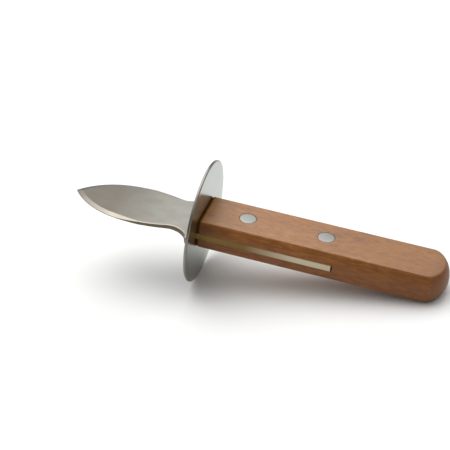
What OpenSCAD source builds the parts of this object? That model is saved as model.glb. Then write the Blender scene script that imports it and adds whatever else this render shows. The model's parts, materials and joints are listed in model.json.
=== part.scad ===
// Oyster knife: a leaf-shaped steel blade with a flat tang, a round hand guard
// and a riveted wooden handle.
//
// The knife is drawn flat, in its own frame: x runs along it, with the guard's
// rear face at x = 0, the tip at -x and the handle at +x; z is square to the
// blade. on_table() then lays it down as it lies on a table: on the rim of the
// guard and on the lower edge of the handle's end, with its tip raised.

/* [Blade] */
// Length of the blade, from the guard to the tip
blade_l = 56; // [45:0.1:90]
// Width of the blade at its belly
blade_w = 26.6; // [24:0.1:36]
// Thickness of the sheet steel that the blade and its tang are cut from
steel_t = 2.6; // [1.6:0.1:4]
// Thickness that the blade's flats are ground down to
ground_t = 1.6; // [1.2:0.1:1.8]
// Distance from the guard to where they have that thickness
ground_x = 18; // [10:0.5:24]
// Thickness between the flats at the tip
tip_t = 1.5; // [1:0.1:1.6]
// Distance from the guard to the belly, where the blade is widest
belly_x = 30.2; // [25:0.1:38]
// Radius of the edge between the belly and the waist
heel_r = 61; // [42:1:80]
// Radius of the hollow between the waist and each shoulder
waist_r = 8; // [6:0.5:14]
// Distance that each shoulder stands out past the tang, to stop the guard
shoulder_reach = 4.7; // [1.5:0.1:6]
// Length of each shoulder's straight side
shoulder_l = 2.6; // [1:0.1:5]

/* [Ground edges] */
// Width of the ground bevel along the fore part of the blade
bevel_w = 2; // [0.8:0.1:3]
// Distance ahead of the belly where the bevel starts to narrow
narrowing_x = 5.8; // [2:0.1:10]
// Radius of the bevel's inner line, from there back
grind_r = 150; // [80:5:400]
// Thickness left at the edge
edge_t = 0.3; // [0.1:0.05:0.8]

/* [Guard] */
// Diameter of the guard
guard_d = 52.2; // [45:0.1:80]
// Thickness of the guard
guard_t = 1.2; // [1.2:0.1:3]
// Rounding of the guard's rim
rim_r = 0.5; // [0.2:0.05:0.55]

/* [Handle] */
// Length of the handle, from the guard to the outer end
handle_l = 103.4; // [90:0.5:140]
// Thickness of the handle, between its two flats
handle_t = 12.8; // [10:0.1:18]
// Width of the handle's flats
flat_w = 20.1; // [16:0.1:22]
// Width of the handle where its sides swell most
handle_w = 24.3; // [23.5:0.1:28]
// Radius of the flats' round end, seen from above
butt_r = 12.8; // [11:0.1:20]
// Distance that the end swells out past the flats
butt_swell = 3; // [2:0.1:5]
// Rounding of the end's upper and lower edges
butt_edge_r = 1.6; // [0.8:0.1:2.5]

/* [Rivets] */
// Distance from the guard to the front rivet
front_rivet_x = 18; // [10:0.1:28]
// Distance between the two rivets
rivet_pitch = 33.4; // [20:0.1:42]
// Steel left in the tang behind the rear rivet's axis
tang_margin = 5.2; // [4:0.1:15]
// Diameter of the rivet heads
head_d = 7; // [6:0.1:10]
// Thickness of the rivet heads
head_t = 1.2; // [0.6:0.1:2]
// Outer diameter of a rivet's tube half
tube_d = 4.8; // [4:0.1:5.6]
// Bore of a rivet's tube half
tube_bore = 3.2; // [2:0.1:3.4]
// Solid length of the tube half between its head and its bore
tube_web = 1; // [0.4:0.1:3]

/* [Fits] */
// Clearance on each side of the tang in the handle's slot
slot_gap = 0.05; // [0.02:0.01:0.2]
// Space between the tang's end and the slot's end
tang_end_gap = 0.6; // [0.2:0.1:2]
// Clearance round the tang in the guard's slot
guard_gap = 0.1; // [0.05:0.05:0.5]
// Clearance round each rivet head in its counterbore
head_gap = 0.12; // [0.05:0.01:0.3]
// Clearance round each rivet tube in its hole
hole_gap = 0.1; // [0.05:0.05:0.3]
// Clearance round each rivet pin in its tube
pin_gap = 0.04; // [0.02:0.01:0.1]
// Space left where a rivet's tube or pin ends
rivet_end_gap = 0.4; // [0.2:0.1:1]

/* [Hidden] */
$fn = 96;
// How far a cutting shape runs past what it cuts
over = 1;
// Straight steps in each drawn arc of the handle's end
arc_steps = 10;

// Radius of the circle through a chord's ends that rises by a given height
function bow_radius(half_chord, rise) = (half_chord ^ 2 + rise ^ 2) / (2 * rise);

// Points of an arc about a centre, from one angle to another, less its end points
// where skip is 1
function arc(centre, r, from, to, skip = 0) = [
    for (i = [skip : arc_steps - skip])
        let (a = from + (to - from) * i / arc_steps)
            centre + r * [cos(a), sin(a)]
];

// Centre of the circle of radius r0 + r1 about one point and r1 about another,
// on the right of the line from the first to the second
function touching_centre(far, r0, near, r1) =
    let (
        line = near - far,
        d = norm(line),
        along = (d ^ 2 + (r0 + r1) ^ 2 - r1 ^ 2) / (2 * d),
        aside = sqrt((r0 + r1) ^ 2 - along ^ 2)
    )
    far + (along * line + aside * [line.y, -line.x]) / d;

// The blade's outline is drawn from its root, with x along it to the tip.
blade_half = blade_w / 2;
tip_r = bow_radius(blade_l - belly_x, blade_half);
shoulder_half = handle_w / 2 + shoulder_reach;
heel_centre = [belly_x, blade_half - heel_r];
waist_centre = touching_centre(heel_centre, heel_r, [shoulder_l, shoulder_half], waist_r);
// Where the waist's hollow runs into the heel's curve
waist_end = (waist_centre * heel_r + heel_centre * waist_r) / (heel_r + waist_r);
bevel_slope = (ground_t - edge_t) / (2 * bevel_w);
// Turn from the belly to the place where the bevel starts to narrow
narrowing_turn = asin(narrowing_x / (tip_r - bevel_w));

// The handle's swollen sides and end are bowed arcs.
handle_half_t = handle_t / 2;
side_r = bow_radius(handle_half_t, (handle_w - flat_w) / 2);
flat_end_x = handle_l - butt_swell;
butt_x = flat_end_x - butt_r;
edge_centre_z = handle_half_t - butt_edge_r;
end_rise = butt_swell - butt_edge_r;
end_centre = (end_rise ^ 2 - edge_centre_z ^ 2) / (2 * end_rise);
end_r = butt_swell - end_centre;
end_angle = atan2(edge_centre_z, -end_centre);

rear_rivet_x = front_rivet_x + rivet_pitch;
tang_l = rear_rivet_x + tang_margin;
tube_l = handle_t - 2 * head_t - rivet_end_gap;
pin_l = handle_t - 2 * head_t - tube_web - rivet_end_gap;

// The lying knife touches the table with its guard's rim and its handle's edge.
rim_centre = [-rim_r, rim_r - guard_d / 2];
edge_centre = [flat_end_x, -edge_centre_z];
rest_line = edge_centre - rim_centre;
rest_tilt = atan2(rest_line.y, rest_line.x)
    + asin((rim_r - butt_edge_r) / norm(rest_line));
lowest_z = rim_centre.y * cos(rest_tilt) - rim_centre.x * sin(rest_tilt) - rim_r;
tip_end_x = -(guard_t + blade_l) * cos(rest_tilt) - edge_t / 2 * sin(rest_tilt);
butt_end_x = (flat_end_x + end_centre) * cos(rest_tilt) + end_r;

// Lays the knife on its table, centred over the origin.
module on_table() {
    translate([-(tip_end_x + butt_end_x) / 2, 0, -lowest_z])
        rotate([0, rest_tilt, 0])
            children();
}

// A disc bevelled to a sharp rim, with the bevel at the ground flats' height at a
// given radius
module sharp_disc(r) {
    flat_r = r - (steel_t - ground_t) / 2 / bevel_slope;
    rotate_extrude($fn = 256)
        polygon([
            [0, -steel_t / 2],
            [flat_r, -steel_t / 2],
            [r + ground_t / 2 / bevel_slope, 0],
            [flat_r, steel_t / 2],
            [0, steel_t / 2]
        ]);
}

// The bevel of one side: round the tip's arc, and then on a wider one
module ground_side() {
    translate([belly_x, blade_half - tip_r, 0])
        rotate(-narrowing_turn) {
            intersection() {
                sharp_disc(tip_r - bevel_w);
                ahead();
            }
            intersection() {
                translate([0, tip_r - bevel_w - grind_r, 0])
                    sharp_disc(grind_r);
                mirror([1, 0, 0])
                    ahead();
            }
        }
}

// The edge's outline on one side: the tip's arc, and the heel's from the belly back
module outline_side() {
    translate([belly_x, 0, 0]) {
        intersection() {
            round_bar(tip_r);
            ahead();
        }
        intersection() {
            round_bar(heel_r);
            mirror([1, 0, 0])
                ahead();
        }
    }
}

// A round bar square to the blade, whose side touches the belly's edge
module round_bar(r) {
    translate([0, blade_half - r, -steel_t])
        cylinder(r = r, h = 2 * steel_t, $fn = 256);
}

// All of the blade's space on the tip's side of the plane x = 0
module ahead() {
    translate([0, -2 * blade_l, -2 * steel_t])
        cube([2 * blade_l, 4 * blade_l, 4 * steel_t]);
}

// The blade seen from its side: its flats thin quickly past the shoulders, and then
// slowly to the tip
module ground_flats() {
    thinning = (steel_t - ground_t) / 2 / (ground_x - shoulder_l);
    tapering = (ground_t - tip_t) / 2 / (blade_l - ground_x);
    upper = [
        [-over, ground_t / 2 + thinning * (ground_x + over)],
        [ground_x, ground_t / 2],
        [blade_l + over, tip_t / 2 - tapering * over]
    ];
    rotate([90, 0, 0])
        linear_extrude(4 * blade_w, center = true)
            polygon(concat(upper, [for (i = [2 : -1 : 0]) [upper[i].x, -upper[i].y]]));
}

// The leaf with its two ground edges. It ends inside the root.
module blade_leaf() {
    intersection() {
        both_sides_share()
            ground_side();
        both_sides_share()
            outline_side();
        translate([waist_end.x - over, 0, 0])
            ahead();
    }
}

// What two copies of a shape share, mirrored from side to side
module both_sides_share() {
    intersection() {
        children();
        mirror([0, 1, 0])
            children();
    }
}

// The waist and the two shoulders that stop the guard
module blade_root() {
    linear_extrude(steel_t, center = true)
        difference() {
            translate([0, -shoulder_half])
                square([waist_end.x, 2 * shoulder_half]);
            for (side = [-1, 1])
                translate([waist_centre.x, side * waist_centre.y])
                    circle(r = waist_r);
        }
}

// The handle's cross-section: two flats, with sides that swell between them
module handle_section() {
    for (side = [0, 1])
        mirror([side, 0])
            intersection() {
                translate([0, -handle_half_t])
                    square([handle_w / 2, handle_t]);
                translate([handle_w / 2 - side_r, 0])
                    circle(r = side_r);
            }
}

// The handle's cross-section drawn out along the knife, between two places
module section_between(x0, x1) {
    translate([x0, 0, 0])
        rotate([90, 0, 90])
            linear_extrude(x1 - x0)
                handle_section();
}

// The handle's swollen round end, turned about an axis through its flats
module butt_drum() {
    drum_centre = butt_r + end_centre;
    translate([butt_x, 0, 0])
        rotate_extrude()
            polygon(concat(
                [[0, -handle_half_t]],
                arc([butt_r, -edge_centre_z], butt_edge_r, -90, -end_angle),
                arc([drum_centre, 0], end_r, -end_angle, end_angle, 1),
                arc([butt_r, edge_centre_z], butt_edge_r, end_angle, 90),
                [[0, handle_half_t]]
            ));
}

// The handle's outside, whole
module handle_form() {
    intersection() {
        section_between(0, handle_l + over);
        union() {
            translate([-over, -handle_w, -handle_half_t])
                cube([butt_x + over, 2 * handle_w, handle_t]);
            butt_drum();
        }
    }
}

// One cylinder for each rivet's axis, square to the flats
module at_rivets(d, z0, z1) {
    for (x = [front_rivet_x, rear_rivet_x])
        translate([x, 0, z0])
            cylinder(d = d, h = z1 - z0);
}

module blade() {
    color("silver")
        on_table()
            difference() {
                union() {
                    translate([-guard_t, 0, 0])
                        rotate([0, 0, 180])
                            intersection() {
                                union() {
                                    blade_leaf();
                                    blade_root();
                                }
                                ground_flats();
                            }
                    intersection() {
                        section_between(-guard_t, tang_l);
                        translate([-guard_t, -handle_w, -steel_t / 2])
                            cube([guard_t + tang_l, 2 * handle_w, steel_t]);
                    }
                }
                at_rivets(tube_d + 2 * hole_gap, -steel_t, steel_t);
            }
}

module guard() {
    slot_w = handle_w + 2 * guard_gap;
    slot_t = steel_t + 2 * guard_gap;
    color("lightsteelblue")
        on_table()
            translate([-guard_t, 0, 0])
                rotate([0, 90, 0])
                    difference() {
                        rotate_extrude($fn = 256)
                            rounded_half_disc();
                        translate([-slot_t / 2, -slot_w / 2, -over])
                            cube([slot_t, slot_w, guard_t + 2 * over]);
                    }
}

// Half of the guard's section, from its axis to its rounded rim
module rounded_half_disc() {
    square([guard_d / 2 - rim_r, guard_t]);
    translate([0, rim_r])
        square([guard_d / 2, guard_t - 2 * rim_r]);
    for (y = [rim_r, guard_t - rim_r])
        translate([guard_d / 2 - rim_r, y])
            circle(r = rim_r);
}

module handle() {
    slot_t = steel_t + 2 * slot_gap;
    hole_d = tube_d + 2 * hole_gap;
    seat_d = head_d + 2 * head_gap;
    color("peru")
        on_table()
            difference() {
                handle_form();
                translate([-over, -handle_w, -slot_t / 2])
                    cube([tang_l + tang_end_gap + over, 2 * handle_w, slot_t]);
                at_rivets(hole_d, -handle_t, handle_t);
                at_rivets(seat_d, handle_half_t - head_t, handle_t);
                at_rivets(seat_d, -handle_t, head_t - handle_half_t);
            }
}

// A rivet's upper half: a head with a drilled tube under it
module rivet_tube(x) {
    seat_z = handle_half_t - head_t;
    color("gainsboro")
        on_table()
            translate([x, 0, 0])
                difference() {
                    union() {
                        translate([0, 0, seat_z])
                            cylinder(d = head_d, h = head_t);
                        translate([0, 0, seat_z - tube_l])
                            cylinder(d = tube_d, h = tube_l);
                    }
                    translate([0, 0, seat_z - tube_l - over])
                        cylinder(d = tube_bore, h = tube_l - tube_web + over);
                }
}

// A rivet's lower half: a head with a solid pin that is pressed into the tube
module rivet_pin(x) {
    color("gainsboro")
        on_table()
            translate([x, 0, -handle_half_t]) {
                cylinder(d = head_d, h = head_t);
                cylinder(d = tube_bore - 2 * pin_gap, h = head_t + pin_l);
            }
}

blade();
guard();
handle();
rivet_tube(front_rivet_x);  // front_rivet_tube
rivet_pin(front_rivet_x);  // front_rivet_pin
rivet_tube(rear_rivet_x);  // rear_rivet_tube
rivet_pin(rear_rivet_x);  // rear_rivet_pin
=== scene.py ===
"""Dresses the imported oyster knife: a satin leaf-shaped blade with ground edges, a polished
round guard, and an oiled wooden handle with aluminium rivets, lying on a pale floor."""
import json
import math

import bmesh
import bpy
import numpy as np
from mathutils import Matrix, Vector


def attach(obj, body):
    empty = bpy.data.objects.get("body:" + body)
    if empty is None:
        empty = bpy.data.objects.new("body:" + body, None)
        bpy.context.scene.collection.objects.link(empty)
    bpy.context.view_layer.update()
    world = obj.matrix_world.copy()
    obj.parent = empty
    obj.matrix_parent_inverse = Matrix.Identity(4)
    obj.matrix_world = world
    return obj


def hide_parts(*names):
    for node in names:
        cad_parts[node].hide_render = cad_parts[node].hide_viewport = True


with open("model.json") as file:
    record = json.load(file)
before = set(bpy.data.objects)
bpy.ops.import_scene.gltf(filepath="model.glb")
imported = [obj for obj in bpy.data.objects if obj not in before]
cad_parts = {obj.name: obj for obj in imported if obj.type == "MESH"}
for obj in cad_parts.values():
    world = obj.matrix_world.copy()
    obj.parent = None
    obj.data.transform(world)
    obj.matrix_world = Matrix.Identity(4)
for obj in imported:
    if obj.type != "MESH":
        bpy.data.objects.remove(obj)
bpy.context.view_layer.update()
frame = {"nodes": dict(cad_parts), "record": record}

MM = 0.001
# Points nearer to each other than DOUBLED, in mm, are one. Heights nearer than LEVEL_SLACK
# are the same.
DOUBLED = 1e-4
LEVEL_SLACK = 1e-6

# Sizes in mm that the frame doesn't give, as in the part's source.
BLADE_HALF = 13.3
BELLY = 30.2
HEEL_R = 61
WAIST_R = 8
SHOULDER_L = 2.6
GROUND_HALF = 0.8
GROUND_X = 18
TIP_THICK_HALF = 0.75
BEVEL_W = 2
NARROWING_X = 5.8
GRIND_R = 150
EDGE_HALF = 0.15
RIM_R = 0.5
FLAT_HALF = 10.05
BUTT_R = 12.8
BUTT_SWELL = 3
HEAD_T = 1.2
TUBE_R = 2.4
BORE_R = 1.6
TUBE_WEB = 1
SLOT_GAP = 0.05
TANG_END_GAP = 0.6
GUARD_GAP = 0.1
HEAD_GAP = 0.12
HOLE_GAP = 0.1
PIN_GAP = 0.04

# Finer forms in mm, which only the scene has.
RIDGE_R = 0.5
BUTT_CORNER_R = 6.1
FLAT_CORNER_R = 4
FRONT_CHAMFER = 0.5
SOFT_TURN = 0.12
CROWN = 0.08
HEAD_EDGE_R = 0.16
BROKEN_EDGE = 0.14
# Length of the handle's front end, in the groove at the guard, that is matt and dark with painted
# shade.
GROOVE_L = 1.1
# The butt's end is a superellipse of this power from flat to flat. 2 would be an ellipse.
BUTT_POWER = 1.76

# How finely the forms are divided. The blade's rings lie evenly on EVEN_STEPS of its
# BLADE_STEPS, and TIP_STEPS closer ones fill the last TIP_SHARE of its length.
BLADE_STEPS = 180
EVEN_STEPS = 150
TIP_STEPS = 30
TIP_SHARE = 0.18
TANG_STEPS = 24
GUARD_STEPS = 240
RIM_STEPS = 8
RIDGE_STEPS = 12
SIDE_STEPS = 20
OUTLINE_STEPS = 30
BUTT_STEPS = 16
HOLE_STEPS = 64
RIVET_STEPS = 96
HEAD_EDGE_STEPS = 5
CROWN_STEPS = 10
HALVINGS = 30

# How squarely a face of the blade looks up, from which it is a bevel, and a flat.
BEVEL_LEVEL = 0.4
FLAT_LEVEL = 0.98

# Tints of bare metal, as shares of its colour.
WARM = (0.94, 0.87, 0.88)
COOL = (1.05, 1.10, 1.08)
DULL = (0.9, 0.9, 0.9)

# The studio: half of the floor's width in m, the dome's brightness at each height, and the
# way to its brighter side, with the strength across from there and on it.
FLOOR_HALF = 12
DOME = ((0.0, 0.30), (0.3, 0.40), (0.57, 0.66), (0.8, 1.35), (1.0, 1.55))
BRIGHT_WAY = (-0.45, 0.89, 0.0)
DIM_SIDE = 0.45
BRIGHT_SIDE = 1.2

# Camera, by the photograph's view of the knife.
CAMERA_PLACE = (0.15302, -0.47112, 0.31995)
CAMERA_AZIMUTH = 19.543
CAMERA_ELEVATION = 30.595
CAMERA_ROLL = -6.088
CAMERA_LENS = 111.63
CAMERA_SENSOR = 36


def knife_frame():
    """The knife's own frame: x runs along it, with the guard's rear face at 0 and the tip
    at -x, and z is square to its flats."""
    mounts = {m["name"]: m for m in frame["record"]["mounts"]}
    up = Vector(mounts["handle_top"]["axis"])
    across = Vector((0, 1, 0))
    along = across.cross(up)
    middle = sum((Vector(m["pos_m"]) for m in mounts.values()), Vector()) / len(mounts)
    guard = frame["nodes"]["guard"].data.vertices
    origin = middle + max((v.co - middle).dot(along) for v in guard) * along
    return Matrix.Translation(origin) @ Matrix((along, across, up)).transposed().to_4x4()


KNIFE = knife_frame()


def span(node):
    """Lowest and highest corner of a CAD node in the knife's frame, in mm."""
    back = KNIFE.inverted()
    points = np.array([back @ v.co for v in frame["nodes"][node].data.vertices]) / MM
    return Vector(points.min(0)), Vector(points.max(0))


blade_lo, blade_hi = span("blade")
guard_lo, guard_hi = span("guard")
handle_lo, handle_hi = span("handle")
GUARD_T = -guard_lo.x
GUARD_R = guard_hi.y
BLADE_L = -GUARD_T - blade_lo.x
STEEL_HALF = blade_hi.z
SHOULDER_HALF = blade_hi.y
TANG_L = blade_hi.x
HANDLE_L = handle_hi.x
HANDLE_HALF = handle_hi.y
THICK_HALF = handle_hi.z
RIVET_X = [sum(c.x for c in span(node)) / 2 for node in ("front_rivet_tube", "rear_rivet_tube")]
HEAD_R = span("front_rivet_tube")[1].y
SIDE_R = (THICK_HALF ** 2 + (HANDLE_HALF - FLAT_HALF) ** 2) / (2 * (HANDLE_HALF - FLAT_HALF))


def place(name, mesh, slot, *nodes):
    """Puts a mesh, drawn in mm in the knife's frame, into the scene for the CAD nodes."""
    mesh.transform(KNIFE @ Matrix.Scale(MM, 4))
    piece = bpy.data.objects.new(name, mesh)
    bpy.context.scene.collection.objects.link(piece)
    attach(piece, "root")
    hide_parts(*nodes)


def clean(mesh):
    """The mesh with no doubled points or flattened faces, all its faces turned outwards."""
    form = bmesh.new()
    form.from_mesh(mesh)
    bmesh.ops.remove_doubles(form, verts=form.verts, dist=DOUBLED)
    bmesh.ops.dissolve_degenerate(form, edges=form.edges, dist=DOUBLED)
    bmesh.ops.recalc_face_normals(form, faces=form.faces)
    form.to_mesh(mesh)
    form.free()
    return mesh


def mesh_of(name, points, faces):
    """A closed mesh from its points and faces."""
    mesh = bpy.data.meshes.new(name)
    mesh.from_pydata([tuple(p) for p in points], [], faces)
    return clean(mesh)


def smooth(mesh, angle):
    """Smooth shading, with sharp edges where faces turn by more than an angle in degrees."""
    mesh.polygons.foreach_set("use_smooth", [True] * len(mesh.polygons))
    mesh.set_sharp_from_angle(angle=math.radians(angle))


def loft(name, rings):
    """A solid through rings of equally many points, closed at both ends."""
    count = len(rings[0])
    points = [p for ring in rings for p in ring]
    faces = []
    for k in range(len(rings) - 1):
        for i in range(count):
            j = (i + 1) % count
            faces.append((k * count + i, k * count + j, (k + 1) * count + j, (k + 1) * count + i))
    faces.append(tuple(range(count)))
    faces.append(tuple(range(len(points) - count, len(points))))
    return mesh_of(name, points, faces)


def revolve(name, profile, steps, turn):
    """A solid turned about z from a profile of (radius, height), and then moved by turn."""
    rings = []
    for i in range(steps):
        a = 2 * math.pi * i / steps
        rings.append([turn @ Vector((r * math.cos(a), r * math.sin(a), z)) for r, z in profile])
    count = len(profile)
    points = [p for ring in rings for p in ring]
    faces = []
    for i in range(steps):
        j = (i + 1) % steps
        for k in range(count - 1):
            faces.append((i * count + k, i * count + k + 1, j * count + k + 1, j * count + k))
    return mesh_of(name, points, faces)


def box(name, lo, hi):
    """A block between two corners, as a cutter."""
    corners = [(lo[1], lo[2]), (hi[1], lo[2]), (hi[1], hi[2]), (lo[1], hi[2])]
    return loft(name, [[(x, y, z) for y, z in corners] for x in (lo[0], hi[0])])


def bore(x, profile):
    """A round cutter square to the flats, at a place along the knife."""
    return revolve("bore", profile, HOLE_STEPS, Matrix.Translation((x, 0, 0)))


def cut(mesh, cutters):
    """The mesh with each cutter's space taken out of it."""
    body = bpy.data.objects.new("body", mesh)
    bpy.context.scene.collection.objects.link(body)
    tools = []
    for cutter in cutters:
        tool = bpy.data.objects.new("tool", cutter)
        bpy.context.scene.collection.objects.link(tool)
        tools.append(tool)
        modifier = body.modifiers.new("cut", "BOOLEAN")
        modifier.operation = "DIFFERENCE"
        modifier.solver = "EXACT"
        modifier.object = tool
    seen = bpy.context.evaluated_depsgraph_get()
    result = bpy.data.meshes.new_from_object(body.evaluated_get(seen))
    for thing in [body, *tools]:
        bpy.data.objects.remove(thing)
    return clean(result)


def split_at(mesh, x):
    """The mesh with its faces divided at a place along the knife, so that they can have
    different materials on either side of it."""
    form = bmesh.new()
    form.from_mesh(mesh)
    everything = [*form.verts, *form.edges, *form.faces]
    bmesh.ops.bisect_plane(form, geom=everything, plane_co=(x, 0, 0), plane_no=(1, 0, 0))
    form.to_mesh(mesh)
    form.free()
    return mesh


def arc(centre, r, start, end, steps):
    """Points of an arc about a centre, from one angle to another, in degrees."""
    turns = [math.radians(start + (end - start) * i / steps) for i in range(steps + 1)]
    return [(centre[0] + r * math.cos(a), centre[1] + r * math.sin(a)) for a in turns]


def waist_circle():
    """Centre of the waist's hollow, which meets the shoulder and touches the heel's curve."""
    heel = Vector((BELLY, BLADE_HALF - HEEL_R))
    line = Vector((SHOULDER_L, SHOULDER_HALF)) - heel
    reach = HEEL_R + WAIST_R
    along = (line.length_squared + reach ** 2 - WAIST_R ** 2) / (2 * line.length)
    aside = math.sqrt(reach ** 2 - along ** 2)
    return heel + (along * line + aside * Vector((line.y, -line.x))) / line.length


TIP_R = ((BLADE_L - BELLY) ** 2 + BLADE_HALF ** 2) / (2 * BLADE_HALF)
TIP_CENTRE = Vector((BELLY, BLADE_HALF - TIP_R))
NARROWING_TURN = math.asin(NARROWING_X / (TIP_R - BEVEL_W))
NARROWING_WAY = Vector((math.sin(NARROWING_TURN), math.cos(NARROWING_TURN)))
GRIND_CENTRE = TIP_CENTRE - (GRIND_R - TIP_R + BEVEL_W) * NARROWING_WAY
BEVEL_SLOPE = (GROUND_HALF - EDGE_HALF) / BEVEL_W
WAIST = waist_circle()
WAIST_END = (WAIST.x * HEEL_R + BELLY * WAIST_R) / (HEEL_R + WAIST_R)


def half_width(u):
    """Half of the blade's width at u, which runs from the guard to the tip."""
    if u >= BELLY:
        return TIP_CENTRE.y + math.sqrt(max(TIP_R ** 2 - (u - BELLY) ** 2, 0))
    if u >= WAIST_END:
        return BLADE_HALF - HEEL_R + math.sqrt(HEEL_R ** 2 - (u - BELLY) ** 2)
    if u > WAIST.x - WAIST_R:
        return min(SHOULDER_HALF, WAIST.y - math.sqrt(WAIST_R ** 2 - (u - WAIST.x) ** 2))
    return SHOULDER_HALF


def flat_height(u):
    """Half of the thickness between the flats at u. They thin quickly past the shoulders,
    and then slowly to the tip, with a soft turn between."""
    quick = (STEEL_HALF - GROUND_HALF) * (GROUND_X - u) / (GROUND_X - SHOULDER_L)
    slow = (GROUND_HALF - TIP_THICK_HALF) * (GROUND_X - u) / (BLADE_L - GROUND_X)
    turn = (quick - slow + math.hypot(quick - slow, SOFT_TURN)) / 2
    return min(STEEL_HALF, GROUND_HALF + slow + turn)


def upper_height(u, y):
    """Height of the blade's upper side over its mid-plane: the flat's, or the bevel's
    where that is lower."""
    if u < WAIST_END:
        return flat_height(u)
    from_tip = Vector((u, y)) - TIP_CENTRE
    if NARROWING_WAY.cross(from_tip) < 0:
        past = from_tip.length - (TIP_R - BEVEL_W)
    else:
        past = (Vector((u, y)) - GRIND_CENTRE).length - GRIND_R
    return min(flat_height(u), GROUND_HALF - BEVEL_SLOPE * past)


def bevel_start(u, edge):
    """Half width at u of the line where the upper side starts to fall towards the edge."""
    flat = flat_height(u) - LEVEL_SLACK
    low, high = 0, edge
    if upper_height(u, high) >= flat:
        return high
    if upper_height(u, low) < flat:
        return low
    for halving in range(HALVINGS):
        middle = (low + high) / 2
        low, high = (middle, high) if upper_height(u, middle) >= flat else (low, middle)
    return low


def blade_ring(u):
    """The blade's section at u: each edge with its worn corners, and the bevels' lines."""
    half = half_width(u)
    worn = min(BROKEN_EDGE, (upper_height(u, half) - EDGE_HALF) / 2) if u > SHOULDER_L else 0
    corner = half - worn / BEVEL_SLOPE
    start = bevel_start(u, corner)
    quarter = [(half, upper_height(u, corner) - worn)]
    quarter += [(y, upper_height(u, y)) for y in (corner, start, 0)]
    return section_ring(-GUARD_T - u, quarter)


def section_ring(x, quarter, swell=0):
    """A ring at x from a quarter's points, from the edge to the centre line. The edge
    stands out by swell at mid-thickness."""
    upper = quarter + [(-y, z) for y, z in quarter[-2::-1]]
    lower = [(y, -z) for y, z in upper[::-1]]
    edge = quarter[0][0] + swell
    return [(x, y, z) for y, z in upper + [(-edge, 0)] + lower + [(edge, 0)]]


def blade_mesh():
    """The blade and its tang, in one piece of sheet steel with holes for the rivets."""
    even = [BLADE_L * i / BLADE_STEPS for i in range(1, EVEN_STEPS)]
    tip = [BLADE_L * (1 - TIP_SHARE * (1 - i / TIP_STEPS) ** 2) for i in range(TIP_STEPS + 1)]
    places = {round(u, 4) for u in even + tip + [SHOULDER_L, GROUND_X, BELLY]}
    rings = [blade_ring(u) for u in sorted(places, reverse=True)]
    side_y = HANDLE_HALF - SIDE_R
    tang_half = side_y + math.sqrt(SIDE_R ** 2 - STEEL_HALF ** 2)
    shoulder = [(y, STEEL_HALF) for y in (SHOULDER_HALF, SHOULDER_HALF, tang_half, 0)]
    rings.append(section_ring(-GUARD_T, shoulder))
    tang = [(y, STEEL_HALF) for y in (tang_half, tang_half, tang_half, 0)]
    for i in range(TANG_STEPS + 1):
        x = -GUARD_T + (GUARD_T + TANG_L) * i / TANG_STEPS
        rings.append(section_ring(x, tang, HANDLE_HALF - tang_half))
    whole = loft("blade_steel", rings)
    hole_r = TUBE_R + HOLE_GAP
    past = 2 * STEEL_HALF
    hole = [(0, -past), (hole_r, -past), (hole_r, past), (0, past)]
    mesh = cut(whole, [bore(x, hole) for x in RIVET_X])
    smooth(mesh, angle=12)
    return mesh


def paint_bevels(mesh, satin, ground, shaded_cut_edge, tang_edge):
    """Gives the flats, the ground bevels, the blade's cut sides and the tang's edges their own
    finishes. The cut sides are dark with painted shade."""
    for material in (satin, ground, shaded_cut_edge, tang_edge):
        mesh.materials.append(material)
    for face in mesh.polygons:
        level = abs(face.normal.z)
        if level >= FLAT_LEVEL:
            face.material_index = 0
        elif level >= BEVEL_LEVEL:
            face.material_index = 1
        else:
            face.material_index = 3 if face.center.x > -GUARD_T else 2


def guard_mesh():
    """The guard: a round plate with a rounded rim and the tang's slot through it."""
    rim = GUARD_R - RIM_R
    rear = [(0, 0)] + [(rim * r, 0) for r in (0.25, 0.5, 0.75)]
    bend = arc((rim, -RIM_R), RIM_R, 90, 0, RIM_STEPS)
    bend += arc((rim, RIM_R - GUARD_T), RIM_R, 0, -90, RIM_STEPS)
    front = [(r, -GUARD_T) for r, z in rear[::-1]]
    upright = Matrix.Rotation(math.pi / 2, 4, "Y")
    plate = revolve("guard_plate", rear + bend + front, GUARD_STEPS, upright)
    half = HANDLE_HALF + GUARD_GAP
    thick = STEEL_HALF + GUARD_GAP
    mesh = cut(plate, [box("slot", (-2 * GUARD_T, -half, -thick), (GUARD_T, half, thick))])
    smooth(mesh, angle=35)
    return mesh


def paint_rim(mesh, face_finish, rim_finish):
    """Gives the guard's flat faces and its rim their own finishes."""
    mesh.materials.append(face_finish)
    mesh.materials.append(rim_finish)
    for face in mesh.polygons:
        face.material_index = int(math.hypot(face.center.y, face.center.z) > GUARD_R - RIM_R)


def handle_levels():
    """The handle's side from its upper flat to its lower one, as (half width, height,
    outward direction) at each level. On the ridges, they lie closest beside the flats."""
    centre_y = HANDLE_HALF - SIDE_R
    rise = THICK_HALF - RIDGE_R
    ridge_y = centre_y + math.sqrt((SIDE_R - RIDGE_R) ** 2 - rise ** 2)
    turn = math.degrees(math.atan2(rise, ridge_y - centre_y))
    levels = []
    for i in range(RIDGE_STEPS + 1):
        a = math.radians(90 + (turn - 90) * (i / RIDGE_STEPS) ** 1.5)
        levels.append((ridge_y + RIDGE_R * math.cos(a), rise + RIDGE_R * math.sin(a), a))
    for i in range(1, SIDE_STEPS):
        a = math.radians(turn - 2 * turn * i / SIDE_STEPS)
        levels.append((centre_y + SIDE_R * math.cos(a), SIDE_R * math.sin(a), a))
    return levels + [(y, -z, -a) for y, z, a in levels[RIDGE_STEPS::-1]]


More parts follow.
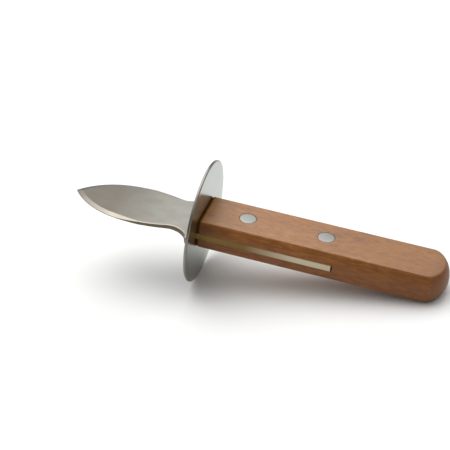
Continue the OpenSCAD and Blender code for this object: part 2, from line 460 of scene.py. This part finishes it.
def handle_outline(half, z):
    """Half of the handle's outline in plan at a level, from its front to the end of its
    butt: a straight side, a rounded corner and the swollen end."""
    share = max(1 - (abs(z) / THICK_HALF) ** BUTT_POWER, 0)
    end_r = BUTT_R + BUTT_SWELL * share ** (1 / BUTT_POWER)
    end_x = HANDLE_L - BUTT_SWELL - BUTT_R
    corner_r = FLAT_CORNER_R + (BUTT_CORNER_R - FLAT_CORNER_R) * share
    corner_y = half - corner_r
    corner_x = end_x + math.sqrt((end_r - corner_r) ** 2 - corner_y ** 2)
    turn = math.degrees(math.atan2(corner_y, corner_x - end_x))
    side_l = corner_x - FRONT_CHAMFER
    side = [(FRONT_CHAMFER + side_l * i / OUTLINE_STEPS, half) for i in range(OUTLINE_STEPS)]
    corner = arc((corner_x, corner_y), corner_r, 90, turn, BUTT_STEPS)
    end = arc((end_x, 0), end_r, turn, 0, BUTT_STEPS)[1:]
    return side + corner + end


def handle_mesh():
    """The handle in one piece, slotted from both sides for the tang, with the rivets'
    holes and the counterbores for their heads."""
    rings = []
    for half, z, a in handle_levels():
        front = (0, half - FRONT_CHAMFER * math.cos(a), z - FRONT_CHAMFER * math.sin(a))
        right = [front] + [(x, y, z) for x, y in handle_outline(half, z)]
        rings.append(right + [(x, -y, level) for x, y, level in right[-2::-1]])
    whole = loft("handle_wood", rings)
    slot_z = STEEL_HALF + SLOT_GAP
    wide = 2 * HANDLE_HALF
    ahead = -1
    cutters = [box("slot", (ahead, -wide, -slot_z), (TANG_L + TANG_END_GAP, wide, slot_z))]
    seat = THICK_HALF - HEAD_T
    upper = [(TUBE_R + HOLE_GAP, seat), (HEAD_R + HEAD_GAP, seat)]
    upper += [(HEAD_R + HEAD_GAP, 2 * THICK_HALF), (0, 2 * THICK_HALF)]
    stepped = [(r, -z) for r, z in upper[::-1]] + upper
    cutters += [bore(x, stepped) for x in RIVET_X]
    mesh = split_at(cut(whole, cutters), GROOVE_L)
    smooth(mesh, angle=28)
    return mesh


def head_profile():
    """The face of a rivet head from its seat's edge to its crown, as (radius, height above
    the handle's flat)."""
    crown_r = HEAD_R - HEAD_EDGE_R
    ball = (crown_r ** 2 + CROWN ** 2) / (2 * CROWN)
    edge = arc((crown_r, -HEAD_EDGE_R), HEAD_EDGE_R, 0, 90, HEAD_EDGE_STEPS)
    crown = []
    for i in range(CROWN_STEPS - 1, -1, -1):
        r = crown_r * i / CROWN_STEPS
        crown.append((r, CROWN - ball + math.sqrt(ball ** 2 - r ** 2)))
    return [(HEAD_R, -HEAD_T)] + edge + crown


def tube_profile(node):
    """A rivet's upper half: a head with a drilled tube under it."""
    low = span(node)[0].z
    seat = THICK_HALF - HEAD_T
    top = seat - TUBE_WEB
    tube = [(0, top), (BORE_R, top), (BORE_R, low), (TUBE_R, low), (TUBE_R, seat)]
    return tube + [(r, THICK_HALF + z) for r, z in head_profile()]


def pin_profile(node):
    """A rivet's lower half: a head with a solid pin."""
    top = span(node)[1].z
    pin_r = BORE_R - PIN_GAP
    pin = [(0, top), (pin_r, top), (pin_r, HEAD_T - THICK_HALF)]
    return pin + [(r, -THICK_HALF - z) for r, z in head_profile()]


class Shader:
    """A material's node tree, with short calls for the nodes it needs."""

    def __init__(self, name, sockets=()):
        self.material = bpy.data.materials.new(name)
        self.material.use_nodes = True
        self.tree = self.material.node_tree
        self.surface = self.tree.nodes["Principled BSDF"]
        for socket, value in dict(sockets).items():
            self.surface.inputs[socket].default_value = value
        world = self.add("ShaderNodeTexCoord").outputs["Object"]
        inputs = {"Vector": world, "Location": KNIFE.translation, "Rotation": KNIFE.to_euler()}
        self.place = self.add("ShaderNodeMapping", inputs, vector_type="TEXTURE").outputs[0]

    @classmethod
    def on(cls, tree):
        """The same calls for a node tree that isn't a material's."""
        shader = cls.__new__(cls)
        shader.tree = tree
        return shader

    def add(self, kind, inputs=(), **settings):
        """A node, with each input linked to a socket or set to a value."""
        node = self.tree.nodes.new(kind)
        for key, value in settings.items():
            setattr(node, key, value)
        for key, value in dict(inputs).items():
            if isinstance(value, bpy.types.NodeSocket):
                self.tree.links.new(value, node.inputs[key])
            else:
                node.inputs[key].default_value = value
        return node

    def set(self, socket, value):
        """Links a socket of the surface."""
        self.tree.links.new(value, self.surface.inputs[socket])

    def math(self, operation, a, b=0.0, clamp=False):
        """The result of one operation, held between 0 and 1 with clamp."""
        node = self.add("ShaderNodeMath", {0: a, 1: b}, operation=operation)
        node.use_clamp = clamp
        return node.outputs[0]

    def stretched(self, x, y, z):
        """The place on the knife, with this many cycles per metre each way."""
        node = self.add("ShaderNodeVectorMath", {0: self.place, 1: (x, y, z)}, operation="MULTIPLY")
        return node.outputs[0]

    def noise(self, cycles, detail=3.0, roughness=0.55, distortion=0.0):
        """Cloudy noise about 0.5, with this many cycles per metre each way."""
        inputs = {"Vector": self.stretched(*cycles), "Scale": 1.0, "Detail": detail,
                  "Roughness": roughness, "Distortion": distortion}
        return self.add("ShaderNodeTexNoise", inputs).outputs["Fac"]

    def between(self, value, low, high, to_low=0.0, to_high=1.0):
        """The value carried over from one range to another, and held at its ends."""
        inputs = {0: value, 1: low, 2: high, 3: to_low, 4: to_high}
        return self.add("ShaderNodeMapRange", inputs).outputs[0]

    def ramp(self, value, stops):
        """A colour by value, from stops of (value, colour)."""
        node = self.add("ShaderNodeValToRGB", {0: value})
        while len(node.color_ramp.elements) < len(stops):
            node.color_ramp.elements.new(1.0)
        for element, (position, colour) in zip(node.color_ramp.elements, stops):
            element.position = position
            element.color = (*colour, 1)
        return node.outputs[0]

    def mix(self, share, a, b):
        """Colour a with a share of colour b."""
        node = self.add("ShaderNodeMix", data_type="RGBA")
        for key, value in ((0, share), (6, a), (7, b)):
            if isinstance(value, bpy.types.NodeSocket):
                self.tree.links.new(value, node.inputs[key])
            else:
                node.inputs[key].default_value = value if key == 0 else (*value, 1)
        return node.outputs[2]

    def bump(self, height, strength, depth_mm):
        """Makes the surface look raised where the height is great."""
        inputs = {"Height": height, "Strength": strength, "Distance": depth_mm * MM}
        self.set("Normal", self.add("ShaderNodeBump", inputs).outputs[0])


def knife_place(shader):
    """The place on the knife: how far along it, and how far from its middle each way."""
    place = shader.add("ShaderNodeSeparateXYZ", {0: shader.place}).outputs
    return place["X"], shader.math("ABSOLUTE", place["Y"]), shader.math("ABSOLUTE", place["Z"])


def side_shade_share(shader):
    """1 on the handle's sides, which are painted darker and redder as shade, and 0 on its flats."""
    high = knife_place(shader)[2]
    return shader.between(high, (THICK_HALF - 0.2) * MM, (THICK_HALF - 0.7) * MM)


def painted_shade_share(shader, sides, blotches):
    """Share of the dark tone painted into the wood: painted shade on the sides beside the guard,
    darker towards the butt, painted shade on the butt's end, painted shadow round the rivet heads
    and painted shade in the groove at the guard."""
    along, aside = knife_place(shader)[:2]
    # Painted shade on the sides beside the guard.
    guard_shade = shader.math("MULTIPLY", sides, shader.between(along, 16 * MM, 1 * MM, 0.0, 0.6))
    to_butt = shader.between(along, 0.45 * HANDLE_L * MM, 0.9 * HANDLE_L * MM, 0.0, 0.2)
    # Painted shade on the butt's end, where it faces away from the light.
    butt_end_shade = shader.between(along, (HANDLE_L - 12) * MM, (HANDLE_L - 3) * MM, 0.0, 0.45)
    share = shader.math("MAXIMUM", guard_shade, shader.math("MAXIMUM", to_butt, butt_end_shade))
    share = shader.math("MULTIPLY", share, shader.between(blotches, 0.3, 0.7, 0.7, 1.3))
    # Painted shadow in the gaps round the rivet heads.
    for x in RIVET_X:
        ahead = shader.math("POWER", shader.math("SUBTRACT", along, x * MM), 2.0)
        away = shader.math("SQRT", shader.math("ADD", ahead, shader.math("POWER", aside, 2.0)))
        ring = shader.between(away, (HEAD_R + 0.8) * MM, (HEAD_R + 0.1) * MM, 0.0, 0.3)
        share = shader.math("MAXIMUM", share, ring)
    # Painted shade in the groove between the handle's front end and the guard.
    groove = shader.between(along, GROOVE_L * MM, 0.3 * MM, 0.0, 0.9)
    return shader.math("MAXIMUM", share, groove, clamp=True)


def wood(name, gloss):
    """Oiled reddish-brown hardwood with its grain along the knife. Its sides are painted darker and
    redder as shade, and painted shade darkens it beside the guard, on the butt's end, round the
    rivet heads and in the groove at the guard.
    """
    shader = Shader(name, {"Specular IOR Level": gloss})
    figure = shader.noise((22, 110, 150), 2.0, 0.5, 0.4)
    mottle = shader.noise((260, 480, 480), 3.0, 0.6, 0.3)
    fibre = shader.noise((260, 1900, 1900), 5.0, 0.72)
    pores = shader.noise((420, 5200, 5200), 2.0, 0.5)
    tone = shader.math("MULTIPLY", figure, 0.22)
    for layer, share in ((mottle, 0.33), (fibre, 0.45)):
        tone = shader.math("ADD", tone, shader.math("MULTIPLY", layer, share))
    colour = shader.ramp(tone, [
        (0.38, (0.165, 0.061, 0.014)),
        (0.46, (0.265, 0.104, 0.025)),
        (0.54, (0.315, 0.131, 0.029)),
        (0.62, (0.400, 0.172, 0.042)),
    ])
    sides = side_shade_share(shader)
    # The sides are painted darker and redder, as shade.
    colour = shader.mix(shader.math("MULTIPLY", sides, 0.3), colour, (0.15, 0.022, 0.0))
    # Painted shade on the sides, broken into darker streaks.
    streaks = shader.between(shader.noise((110, 2200, 2200), 2.0, 0.5), 0.42, 0.58, 0.0, 0.42)
    colour = shader.mix(shader.math("MULTIPLY", sides, streaks), colour, (0.12, 0.028, 0.003))
    fleck = shader.between(pores, 0.60, 0.70)
    colour = shader.mix(shader.math("MULTIPLY", fleck, 0.6), colour, (0.15, 0.055, 0.02))
    # The dark tone for the painted shade and for the darkening towards the butt.
    colour = shader.mix(painted_shade_share(shader, sides, mottle), colour, (0.085, 0.03, 0.006))
    shader.set("Base Color", colour)
    shader.set("Roughness", shader.between(fibre, 0.3, 0.7, 0.36, 0.5))
    height = shader.math("SUBTRACT", fibre, shader.math("MULTIPLY", fleck, 0.8))
    shader.bump(height, 0.25, 0.05)
    return shader.material


def paint_wood(mesh):
    """Gives the handle's polished flats, its duller sides and the matt groove at the guard
    their own gloss."""
    for name, gloss in (("flat_wood", 0.75), ("side_wood", 0.3), ("groove_wood", 0.0)):
        mesh.materials.append(wood(name, gloss))
    for face in mesh.polygons:
        side = int(abs(face.center.z) < THICK_HALF - RIDGE_R / 2)
        face.material_index = 2 if face.center.x < GROOVE_L else side


def tinted(colour, tint):
    """A colour with each of its parts multiplied by the tint's."""
    return tuple(c * share for c, share in zip(colour, tint))


def metal(name, colour, rough, brush, spread=0.06, strength=0.05, cloudy=0.5, shade_fade=None):
    """Bare metal with fine lines of polish. brush gives their cycles per metre each way,
    spread how far the roughness varies with them, and strength how clearly they stand out.
    cloudy is the share of the full range of tints that it shows. The last argument, when given, is
    a darker second colour of painted shade, with the places along the knife, in mm, between which
    it takes over."""
    shader = Shader(name, {"Metallic": 1.0})
    lines = shader.noise(brush, 4.0, 0.7)
    spots = shader.noise((110, 200, 200), 3.0)
    cloud = shader.between(spots, 0.3, 0.7, 0.5 - cloudy / 2, 0.5 + cloudy / 2)
    tone = shader.mix(cloud, tinted(colour, WARM), tinted(colour, COOL))
    if shade_fade:
        shade_colour, start, end = shade_fade
        along = knife_place(shader)[0]
        share = shader.between(along, start * MM, end * MM)
        tone = shader.mix(share, tone, shader.mix(cloud, tinted(shade_colour, DULL), shade_colour))
    shader.set("Base Color", tone)
    shader.set("Roughness", shader.between(lines, 0.25, 0.75, rough - spread, rough + spread))
    shader.bump(lines, strength, 0.02)
    return shader.material


def floor():
    """A plain pale floor, wide enough to fill every view."""
    mesh = bpy.data.meshes.new("floor")
    corners = [(FLOOR_HALF * x, FLOOR_HALF * y, 0) for x, y in ((-1, -1), (1, -1), (1, 1), (-1, 1))]
    mesh.from_pydata(corners, [], [(0, 1, 2, 3)])
    thing = bpy.data.objects.new("floor", mesh)
    bpy.context.scene.collection.objects.link(thing)
    shader = Shader("pale_floor", {"Roughness": 0.7})
    grain = shader.noise((40, 40, 40), 2.0)
    shader.set("Base Color", shader.mix(grain, (0.81, 0.81, 0.80), (0.83, 0.83, 0.82)))
    mesh.materials.append(shader.material)


def light(name, place_at, aim, size, watts):
    """A square soft box, facing a point."""
    data = bpy.data.lights.new(name, "AREA")
    data.size = size
    data.energy = watts
    lamp = bpy.data.objects.new(name, data)
    lamp.location = place_at
    lamp.rotation_mode = "QUATERNION"
    lamp.rotation_quaternion = (Vector(aim) - Vector(place_at)).to_track_quat("-Z", "Y")
    bpy.context.scene.collection.objects.link(lamp)


def studio():
    """A soft dome, bright overhead and at the back on the left, and a wide soft box."""
    world = bpy.data.worlds.new("studio")
    world.use_nodes = True
    bpy.context.scene.world = world
    sky = Shader.on(world.node_tree)
    way = sky.add("ShaderNodeTexCoord").outputs["Generated"]
    split = sky.add("ShaderNodeSeparateXYZ", {0: way})
    height = sky.ramp(split.outputs["Z"], [(at, (level,) * 3) for at, level in DOME])
    toward = sky.add("ShaderNodeVectorMath", {0: way, 1: BRIGHT_WAY}, operation="DOT_PRODUCT")
    depth = sky.between(toward.outputs["Value"], -1.0, 1.0, DIM_SIDE, BRIGHT_SIDE)
    background = world.node_tree.nodes["Background"]
    world.node_tree.links.new(height, background.inputs["Color"])
    world.node_tree.links.new(depth, background.inputs["Strength"])
    light("overhead", (-0.25, 0.32, 1.05), aim=(0, 0, 0), size=1.3, watts=10)


def camera():
    """The photograph's view: place, direction and roll."""
    data = bpy.data.cameras.new("camera")
    data.sensor_width = CAMERA_SENSOR
    data.lens = CAMERA_LENS
    data.clip_start = 0.01
    thing = bpy.data.objects.new("camera", data)
    turn = Matrix.Rotation(math.radians(CAMERA_AZIMUTH), 4, "Z")
    tilt = Matrix.Rotation(math.radians(90 - CAMERA_ELEVATION), 4, "X")
    roll = Matrix.Rotation(math.radians(CAMERA_ROLL), 4, "Z")
    thing.matrix_world = Matrix.Translation(CAMERA_PLACE) @ turn @ tilt @ roll
    bpy.context.scene.collection.objects.link(thing)
    bpy.context.scene.camera = thing


def dress_blade():
    """The blade in satin steel, with brighter bevels, cut sides darkened with painted shade and the
    tang's edges. The flats and bevels are darkened towards the tip, and the tang's edges beside the
    guard, with painted shade.
    """
    mesh = blade_mesh()
    tip = -GUARD_T - BLADE_L
    brush = (60, 3500, 3500)
    # Painted shade, darkening the flats and bevels towards the tip.
    satin_tip_shade = ((0.150, 0.136, 0.114), 0.2 * tip, 0.7 * tip)
    satin = metal("satin_steel", (0.255, 0.252, 0.226), 0.36, brush, cloudy=1.0, shade_fade=satin_tip_shade)
    ground_tip_shade = ((0.118, 0.106, 0.088), 0.65 * tip, tip)
    ground = metal("ground_steel", (0.265, 0.240, 0.205), 0.32, brush, cloudy=1.0, shade_fade=ground_tip_shade)
    # The blade's cut sides are dark with painted shade.
    shaded_sheared = metal("shaded_sheared_steel", (0.15, 0.12, 0.085), 0.5, (800, 800, 300))
    # Painted shade on the tang's edges beside the guard.
    flush_guard_shade = ((0.170, 0.105, 0.036), 39, 20)
    flush = metal("flush_steel", (0.46, 0.40, 0.29), 0.4, (60, 900, 3500), shade_fade=flush_guard_shade)
    paint_bevels(mesh, satin, ground, shaded_sheared, flush)
    place("blade_piece", mesh, "blade", "blade")


def dress_guard():
    """The guard in polished steel, with a duller rim."""
    mesh = guard_mesh()
    mirror = metal("polished_steel", (0.372, 0.412, 0.382), 0.24, (900, 90, 4000), 0.03, 0.02)
    paint_rim(mesh, mirror, metal("rim_steel", (0.22, 0.21, 0.185), 0.3, (3000, 300, 300)))
    place("guard_piece", mesh, "guard", "guard")


def dress_handle():
    """The handle in oiled wood."""
    mesh = handle_mesh()
    paint_wood(mesh)
    place("handle_piece", mesh, "handle", "handle")


def dress_rivets():
    """The two halves of each rivet in matt aluminium."""
    aluminium = metal("matt_aluminium", (0.302, 0.312, 0.295), 0.42, (2500, 2500, 300))
    for x, end in zip(RIVET_X, ("front", "rear")):
        for profile_of, half in ((tube_profile, "tube"), (pin_profile, "pin")):
            node = f"{end}_rivet_{half}"
            mesh = revolve(node, profile_of(node), RIVET_STEPS, Matrix.Translation((x, 0, 0)))
            smooth(mesh, angle=35)
            mesh.materials.append(aluminium)
            place(f"{node}_piece", mesh, "rivets", node)


def main():
    camera()
    studio()
    floor()
    dress_blade()
    dress_guard()
    dress_handle()
    dress_rivets()
    bpy.context.scene.view_settings.view_transform = "Standard"


main()
